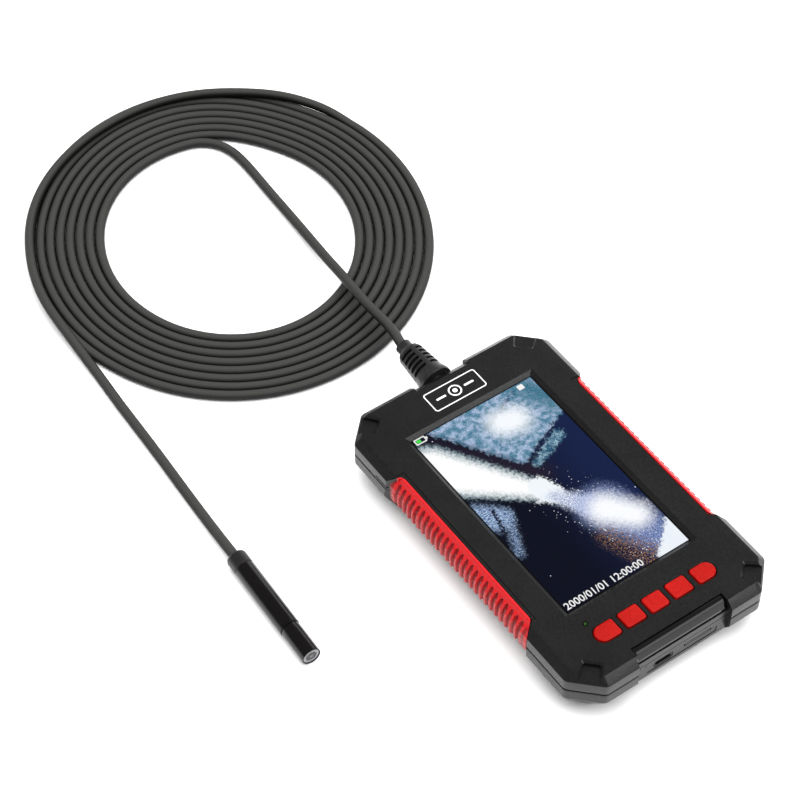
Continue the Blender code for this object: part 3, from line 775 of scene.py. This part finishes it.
def opening_cutter():
    (left, low), (right, high) = OPENING
    rows = []
    for inset, z in (
        (OPENING_BEVEL, 20.0), (OPENING_BEVEL, LIP_Z), (0.0, FRONT_Z - 0.1),
        (-0.15, FRONT_Z + 0.05), (-0.15, FRONT_Z + PAST),
    ):
        outline = rounded((left + inset, low + inset), (right - inset, high - inset), 0.5, 0.5, 3)
        rows.append([(x, y, z) for x, y in outline])
    return loft("cut", rows)


def button_shapes():
    last = len(BUTTON_SPANS) - 1
    for i, (left, right) in enumerate(BUTTON_SPANS):
        left_r = 3.4 if i == 0 else 1.0
        right_r = 3.4 if i == last else 1.0
        yield left_r, right_r, (left, BUTTON_Y[0]), (right, BUTTON_Y[1])


def button_cutters():
    cutters = []
    for left_r, right_r, low, high in button_shapes():
        rows = []
        for grow, z in (
            (GAP, CEILING_Z - PAST), (GAP, FRONT_Z - 0.25),
            (GAP + 0.3, FRONT_Z + 0.05), (GAP + 0.3, FRONT_Z + PAST),
        ):
            outline = rounded(*grown(low, high, grow), left_r + grow, right_r + grow)
            rows.append([(x, y, z) for x, y in outline])
        cutters.append(loft("cut", rows))
    return cutters


def corner_frames():
    """For each cut corner: its middle on the front edge, the way out and the way along."""
    edge = (CORNER_SUM - CORNER_SHARE * BEVEL_IN) / 2
    half = (HALF_Y - HALF_X) / 2 + 0.7
    for sx in SIDES:
        for sy in SIDES:
            middle = Vector((sx * (edge - half), sy * (edge + half) + MIDDLE_Y))
            yield middle, Vector((sx, sy)).normalized(), Vector((-sx, sy)).normalized()


def pocket_cutters():
    """A pocket through the front edge of each cut corner, its ends sloping outwards."""
    cutters = []
    for middle, out, along in corner_frames():
        rows = []
        for grow, z in ((0.0, 21.9), (0.0, 23.2), (0.8, FRONT_Z + 0.05), (0.8, FRONT_Z + PAST)):
            inner = 3.2 + grow
            outer = 4.3 + grow
            back = -5.0 - grow
            corners = ((-inner, back), (inner, back), (outer, PAST), (-outer, PAST))
            outline = eased([middle + along * a + out * b for a, b in corners], 1.0, 4, True)
            rows.append([(x, y, z) for x, y in outline])
        cutters.append(loft("cut", rows))
    return cutters


# ------------------------------------------------------------- back shell


def make_back_shell(look):
    profile = (
        (TAPER_IN + 3.0, 0.0), (TAPER_IN, 0.0), (0.0, TAPER_Z), (0.0, PARTING_Z - 0.5),
        (0.35, PARTING_Z - 0.15),
    )
    shell = loft("back_case", [case_row(inset, z) for inset, z in eased(profile, 1.2, 5)])
    cavity = [(36.3, 65.1, 96.1, 2.2), (*CAVITY, TAPER_Z), (*CAVITY, PARTING_Z + PAST)]
    rows = [[(x, y, row[3]) for x, y in octagon(*row[:3], 0.5)] for row in cavity]
    cutters = [loft("cut", rows), *notch_cutters(), *grip_cutters()]
    socket = rounded((USB_X[0] - GAP, USB_Z[0] - GAP), (USB_X[1] + GAP, USB_Z[1] + GAP), 1.2, 1.2)
    cutters.append(wall_cutter(socket))
    cutters.append(wall_cutter(rounded((SLOT_X[0], SLOT_Z[0]), (SLOT_X[1], SLOT_Z[1]), 0.5, 0.5)))
    for x, z, radius in PINHOLES:
        hole = rounded((x - radius, z - radius), (x + radius, z + radius), radius * 0.99, radius * 0.99, 3)
        cutters.append(wall_cutter(hole))
    panel = ((-14.5, 9.5), (17.0, 9.5), (17.0, 12.6), (15.2, 14.6), (-12.4, 14.6), (-14.5, 12.6))
    cutters.append(loft("cut", [[(x, y, z) for x, z in panel] for y in (-90.0, 0.2 - SET_BACK_Y)]))
    cutters.append(turned("cut", ((68.8, 3.6), (78.8, 3.6)), 32, (0.0, 0.0, RELIEF_Z)))
    for sx in SIDES:
        for sy in SIDES:
            at = (sx * SCREW_AT[0], sy * SCREW_AT[1], 0.0)
            sink = ((-PAST, 2.9), (0.0, 2.9), (0.3, 2.6), (4.0, 2.6))
            cutters.append(turned("cut", sink, 32, at, (0, 0, 1)))
    join_shapes(shell, "DIFFERENCE", cutters)
    smooth(shell)
    settle(shell, "monitor", "case_grey", look, "back_shell")


def wall_cutter(outline):
    """A cutter through the bottom wall with the outline given in x and z."""
    return loft("cut", [[(x, y, z) for x, z in outline] for y in (-HALF_Y - PAST, -65.8)])


# ------------------------------------------------------------------ grips


def groove_depth(y, z):
    """How deep the grip's side is cut here: each groove has a round top and widens downwards."""
    middle = sum(GRIP_Y) / 2
    nearest = round((y - middle) / GROOVE_PITCH + (GROOVES - 1) / 2)
    nearest = min(max(nearest, 0), GROOVES - 1)
    across = abs(y - middle - (nearest - (GROOVES - 1) / 2) * GROOVE_PITCH) / (GROOVE_PITCH / 2)
    opened = min(max((GROOVE_TOP_Z - z) / 1.0, 0.0), 1.0)
    width = 0.66 * math.sqrt(opened)
    if across >= width or abs(y - middle) > GROOVES / 2 * GROOVE_PITCH:
        return 0.0
    return GROOVE_DEEP * opened**0.7 * math.cos(across / width * math.pi / 2) ** 0.8


def make_grip(name, side, look, node):
    path = dense(eased(GRIP_SECTION, 0.7, 4), 0.35)
    columns = int((GRIP_Y[1] - GRIP_Y[0]) / 0.2)
    points = []
    for i in range(columns + 1):
        y = GRIP_Y[0] + (GRIP_Y[1] - GRIP_Y[0]) * i / columns
        top_end = max(0.0, 2.2 - (GRIP_Y[1] - y))
        low_end = max(0.0, 0.8 - (y - GRIP_Y[0]))
        inner = GRIP_IN + 2.2 - math.sqrt(2.2**2 - top_end**2) + 0.5 * low_end
        outer = 45.0 - 0.35 * top_end**2 - 0.6 * low_end**2
        from_end = min(y - GRIP_Y[0], GRIP_Y[1] - y)
        way = 1 if y > 0.0 else -1
        stretch = way * GRIP_SLANT * max(0.0, 1.0 - from_end / GRIP_END)
        for x, z in path:
            slanted = y + stretch * (x - GRIP_IN)
            depth = groove_depth(slanted, z) if x > 42.0 else 0.0
            points.append((side * min(max(x - depth, inner), outer), slanted, z))
    count = len(path)
    faces = [tuple(range(count)), tuple(range(columns * count, (columns + 1) * count))]
    for i in range(columns):
        for j in range(count):
            k = (j + 1) % count
            faces.append((i * count + j, i * count + k, (i + 1) * count + k, (i + 1) * count + j))
    grip = smooth(mesh_piece(name, points, faces), 50)
    settle(grip, "monitor", "grip_red", look, node)


def dense(path, spacing):
    """The path with extra points, none further apart than spacing."""
    filled = []
    for first, second in zip(path, path[1:]):
        count = max(1, math.ceil((second - first).length / spacing))
        filled += [first.lerp(second, i / count) for i in range(count)]
    return filled + [path[-1]]


# ---------------------------------------------------------------- buttons


def make_buttons(look):
    for i, (left_r, right_r, low, high) in enumerate(button_shapes()):
        levels = (
            (1.0, 20.4), (1.0, 21.4), (0.0, 21.4), (0.0, 24.0),
            (-0.06, 24.25), (-0.22, 24.4), (-0.5, 24.47), (-1.2, BUTTON_TOP_Z),
        )
        rows = []
        for grow, z in levels:
            outline = rounded(*grown(low, high, grow), max(left_r + grow, 0.1), max(right_r + grow, 0.1))
            rows.append([(x, y, z) for x, y in outline])
        button = smooth(loft(f"push_button_{i + 1}", rows), 40)
        settle(button, f"key_{i + 1}", "button_red", look, f"button_{i + 1}")


# --------------------------------------------------------- trim and screen


def make_bar(look):
    section = eased(
        ((-68.6, 19.2), (-68.6, 23.6), (-69.0, 23.95), (-70.5, 23.95), (-71.3, 23.3), (-72.4, 20.7),
         (-72.4, 19.2)), 0.45, 5)
    rows = []
    for x, shrink in ((BAR_X[0], 0.25), (BAR_X[0] + 0.25, 0.0), (BAR_X[1] - 0.9, 0.0), (BAR_X[1], 0.9)):
        rows.append([(x, min(y + shrink, -68.6), min(z, 23.95 - shrink * 0.7)) for y, z in section])
    bar = smooth(loft("gloss_bar", rows), 25)
    settle(bar, "monitor", "bar_gloss", look, "port_bar")


def flat_ring(name, outer, inner, low, high):
    """A thin frame between two outlines of equal point counts."""
    count = len(outer)
    points = [(x, y, z) for z in (low, high) for outline in (outer, inner) for x, y in outline]
    faces = []
    for first, second in ((0, 2), (2, 3), (3, 1), (1, 0)):
        for i in range(count):
            j = (i + 1) % count
            faces.append((first * count + i, first * count + j, second * count + j, second * count + i))
    return mesh_piece(name, points, faces)


def make_badge(plate_look, print_look):
    plate = prism("badge_base", rounded(*grown(*BADGE, 0.15), 1.4, 1.4), 23.4, 23.97)
    settle(smooth(plate), "monitor", "badge", plate_look, "badge_plate")
    outer = rounded(*grown(*BADGE, 0.1), 1.2, 1.2)
    inner = rounded(*grown(*BADGE, -0.35), 0.75, 0.75)
    line = flat_ring("badge_line", outer, inner, 23.95, 24.03)
    settle(smooth(line), "monitor", "badge", print_look)
    x, y = (sum(ends) / 2 for ends in zip(*BADGE))
    ring = flat_ring("badge_ring", disc_outline(x, y, 2.7), disc_outline(x, y, 2.1), 23.95, 24.03)
    settle(smooth(ring), "monitor", "badge", print_look)
    settle(smooth(prism("badge_dot", disc_outline(x, y, 1.0), 23.95, 24.03)), "monitor", "badge", print_look)
    for side in SIDES:
        near, far = sorted((x + side * 4.2, x + side * 8.6))
        shape = rounded((near, y - 0.45), (far, y + 0.45), 0.44, 0.44)
        bar = prism(f"badge_bar_{side + 2}", shape, 23.95, 24.03)
        settle(smooth(bar), "monitor", "badge", print_look)


def disc_outline(x, y, radius, count=48):
    angles = [2 * math.pi * i / count for i in range(count)]
    return [(x + radius * math.cos(angle), y + radius * math.sin(angle)) for angle in angles]


def make_screen(look, white, dark, green):
    (left, low), (right, high) = OPENING
    inset = OPENING_BEVEL + 0.1
    panel = box("screen_face", (left + inset, low + inset, 21.4), (right - inset, high - inset, SCREEN_Z))
    settle(panel, "monitor", "screen_glass", look, "screen_window")
    writing = "2000/01/01 12:00:00"
    make_writing("clock_edge", writing, 0.05, SCREEN_Z + 0.02, dark)
    make_writing("clock", writing, 0.012, SCREEN_Z + 0.05, white)
    z = SCREEN_Z + 0.01, SCREEN_Z + 0.04
    frame_outer = rounded((-27.0, 48.4), (-22.2, 51.2), 0.4, 0.4)
    frame_inner = rounded((-26.5, 48.9), (-22.7, 50.7), 0.2, 0.2)
    shapes = (
        (flat_ring("battery_frame", frame_outer, frame_inner, *z), white),
        (prism("battery_end", rounded((-22.1, 49.2), (-21.5, 50.4), 0.1, 0.1), *z), white),
        (prism("battery_level", rounded((-26.3, 49.1), (-24.4, 50.5), 0.1, 0.1), *z), green),
        (prism("save_sign", rounded((20.2, 47.9), (22.8, 50.3), 0.3, 0.3), *z), white),
    )
    for shape, finish in shapes:
        settle(shape, "monitor", "screen_glass", finish)


def make_writing(name, text, bolder, z, look):
    """The clock's figures, fitted to the lower left of the screen."""
    curve = bpy.data.curves.new(name, "FONT")
    curve.body = text
    curve.offset = bolder
    curve.extrude = 0.01
    curve.resolution_u = 3
    typed = link(bpy.data.objects.new(name, curve))
    bpy.context.view_layer.update()
    mesh = bpy.data.meshes.new_from_object(typed.evaluated_get(bpy.context.evaluated_depsgraph_get()))
    bpy.data.objects.remove(typed)
    wide = max(point.co.x for point in mesh.vertices) - 2 * bolder
    tall = max(point.co.y for point in mesh.vertices) - 2 * bolder
    size = Matrix.Diagonal((WRITING_SIZE[0] / wide, WRITING_SIZE[1] / tall, 1.0, 1.0))
    mesh.transform(Matrix.Translation((*WRITING_AT, z)) @ size)
    mesh.transform(Matrix.Scale(MM, 4))
    settle(link(bpy.data.objects.new(name, mesh)), "monitor", "screen_glass", look)


# ---------------------------------------------------------- strain relief


def make_relief(look):
    profile = eased(
        ((68.3, 0.0), (68.3, 4.3), (70.4, 4.3), (70.4, 3.3), (73.2, 3.3), (73.2, 7.0), (74.8, 7.0),
         (77.6, 6.2), (84.0, 5.7), (90.4, 5.2), (91.6, 4.6), (92.3, 3.5), (93.2, 3.2), (95.7, 3.3),
         (96.3, 2.5), (96.3, 0.0)), 0.5, 3)
    body = turned("relief_body", [(float(y), float(r)) for y, r in profile], 64, (0.0, 0.0, RELIEF_Z))
    cutters = []
    for i in range(5):
        low = 78.6 + 2.36 * i
        for quarter in range(4):
            start = quarter * math.pi / 2 + math.radians(10)
            cutters.append(ring_sector(low, low + 1.3, 2.7, 9.0, start, math.radians(70)))
    join_shapes(body, "DIFFERENCE", cutters)
    smooth(body)
    return settle(body, "monitor", "relief_rubber", look, "strain_relief")


def ring_sector(low, high, inner, outer, start, sweep, steps=10):
    """A part of a ring round the relief's axis, for one slot."""
    rows = []
    for i in range(steps + 1):
        angle = start + sweep * i / steps
        across, up = math.sin(angle), math.cos(angle)
        corners = ((inner, low), (outer, low), (outer, high), (inner, high))
        rows.append([(r * across, y, RELIEF_Z + r * up) for r, y in corners])
    return loft("cut", rows)


# ------------------------------------------------------------ camera head


def head_profile(points, round_by):
    return [(float(along), float(radius)) for along, radius in eased(points, round_by, 5)]


def make_head(look, cap_look, ring_look, face_look, lens_look):
    """The head's rear cap, sleeve, barrel, ring of lights and lens."""
    rear = Vector((*HEAD_REAR, HEAD_Z))
    heading = Vector((*HEAD_TIP, HEAD_Z)) - rear
    cap = head_profile(((0.0, 0.0), (0.0, 3.7), (1.0, 4.0), (6.4, 4.0), (6.4, 0.0)), 0.7)
    sleeve = head_profile(((6.5, 0.0), (6.5, 4.0), (37.9, 4.0), (37.9, 3.2), (36.0, 3.2), (36.0, 0.0)), 0.25)
    barrel = head_profile(
        ((34.0, 2.0), (34.0, 2.9), (38.0, 2.9), (38.0, 3.7), (41.0, 3.75), (52.5, 3.75), (52.5, 3.3),
         (51.6, 3.25), (51.6, 2.0)), 0.3)
    ring = head_profile(((51.4, 2.3), (51.4, 3.2), (52.2, 3.2), (52.2, 2.3)), 0.1)
    face = head_profile(((50.4, 1.2), (50.4, 2.3), (52.0, 2.25), (52.0, 1.25)), 0.1)
    lens = head_profile(((49.5, 0.0), (49.5, 1.15), (52.0, 1.15), (52.35, 0.7), (52.4, 0.0)), 0.3)
    plan = (
        ("rear_cap", cap, False, cap_look, "head_black", ()),
        ("sleeve", sleeve, False, look, "head_black", ("head_sleeve",)),
        ("barrel", barrel, True, look, "head_black", ("lens_barrel",)),
        ("light_ring", ring, True, ring_look, "ring_grey", ("led_ring",)),
        ("end_face", face, True, face_look, "ring_grey", ()),
        ("lens_glass", lens, False, lens_look, "lens", ("lens_window",)),
    )
    pieces = []
    for name, profile, is_ring, finish, slot, nodes in plan:
        outline = profile + profile[:1] if is_ring else profile
        made = turned(name, outline, 64, rear, heading)
        pieces.append(settle(made, "monitor", slot, finish, *nodes))
    return pieces


def make_screws(look):
    for i, (sx, sy) in enumerate((sx, sy) for sx in SIDES for sy in SIDES):
        at = (sx * SCREW_AT[0], sy * SCREW_AT[1], 0.0)
        profile = (
            (0.5, 0.0), (0.5, 1.7), (0.62, 2.05), (0.95, 2.3), (2.3, 2.3), (2.3, 1.2), (17.9, 1.2),
            (18.5, 0.6), (18.5, 0.0),
        )
        screw = turned(f"screw_{i + 1}", profile, 40, at, (0.0, 0.0, 1.0))
        cross = []
        for wide, long in ((0.28, 1.25), (1.25, 0.28)):
            low = (at[0] - wide, at[1] - long, 0.0)
            cross.append(box("cut", low, (at[0] + wide, at[1] + long, 1.5)))
        join_shapes(screw, "DIFFERENCE", cross)
        settle(smooth(screw), "monitor", "screw_steel", look, f"case_screw_{i + 1}")


def dress_nodes(finishes):
    """Gives the CAD nodes that stay in view their materials."""
    for names, finish in finishes:
        for name in names:
            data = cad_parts[name].data
            data.materials.clear()
            data.materials.append(finish)


def make_looks():
    """Every finish that a piece or an inner node can take."""
    return {
        "case": moulded(
            "case_plastic", (0.0045, 0.0045, 0.0045), (0.0065, 0.0065, 0.0065), 0.34, specular=0.38),
        "red": grip_rubber(),
        "key_red": moulded(
            "button_rubber", (0.24, 0.002, 0.001), (0.31, 0.004, 0.002), 0.38, 0.00005, 0.2, 900.0),
        "gloss": moulded("gloss_plastic", (0.003, 0.003, 0.003), (0.004, 0.004, 0.004), 0.12, 0.000002, 0.3),
        "rubber": moulded("relief_rubber", (0.009, 0.009, 0.009), (0.013, 0.013, 0.013), 0.36, 0.00003),
        "head": moulded("head_gloss", (0.002, 0.0015, 0.0015), (0.003, 0.0025, 0.0025), 0.2, 0.000003, 0.3),
        "cap": moulded("head_cap", (0.007, 0.0065, 0.0065), (0.010, 0.0095, 0.0095), 0.45, 0.00002),
        "white": moulded("white_print", (0.62, 0.62, 0.62), (0.68, 0.68, 0.68), 0.5, 0.00001),
        "ring": moulded("light_ring", (0.20, 0.20, 0.215), (0.25, 0.25, 0.265), 0.4, 0.00001),
        "face": moulded("head_face", (0.045, 0.045, 0.05), (0.06, 0.06, 0.065), 0.45, 0.00001, 0.3),
        "lens": moulded("lens_glass", (0.08, 0.08, 0.085), (0.11, 0.11, 0.115), 0.12, 0.000002, 0.3),
        "board": moulded("board_lacquer", (0.01, 0.09, 0.03), (0.02, 0.14, 0.05), 0.4),
        "wrap": moulded("battery_wrap", (0.16, 0.17, 0.2), (0.22, 0.23, 0.27), 0.35),
        "black": moulded("black_plastic", (0.006, 0.006, 0.006), (0.01, 0.01, 0.01), 0.45),
        "green": moulded("led_plastic", (0.008, 0.035, 0.003), (0.012, 0.05, 0.004), 0.3),
        "panel": moulded("panel_glass", (0.02, 0.022, 0.03), (0.03, 0.034, 0.045), 0.2),
        "steel": metal("screw_steel", (0.55, 0.56, 0.58), 0.25),
        "socket": metal("socket_steel", (0.05, 0.05, 0.052), 0.4),
    }


def dress_inside(looks):
    """Finishes for the inner nodes, which keep their own shapes."""
    switches = [f"key_switch_{i + 1}" for i in range(len(BUTTON_SPANS))]
    dress_nodes((
        (("main_board", "key_board", "sensor_board"), looks["board"]), (("battery",), looks["wrap"]),
        (("memory_card", *switches), looks["black"]), (("status_led",), looks["green"]),
        (("lcd_panel",), looks["panel"]), (("usb_port", "card_socket"), looks["socket"]),
    ))


def main():
    looks = make_looks()
    make_stage()
    make_lights()
    make_camera()
    cord = make_cord(cord_jacket())
    make_front_shell(looks["case"])
    make_back_shell(looks["case"])
    make_grip("grip_left", -1, looks["red"], "left_grip")
    make_grip("grip_right", 1, looks["red"], "right_grip")
    make_buttons(looks["key_red"])
    make_bar(looks["gloss"])
    make_badge(looks["case"], looks["white"])
    make_screen(screen_picture(), glowing("sign_white", (0.95, 0.95, 0.95)),
                glowing("sign_edge", (0.01, 0.01, 0.02)), glowing("sign_green", (0.06, 0.75, 0.08)))
    make_screws(looks["steel"])
    relief = make_relief(looks["rubber"])
    pieces = make_head(looks["head"], looks["cap"], looks["ring"], looks["face"], looks["lens"])
    dress_inside(looks)


main()
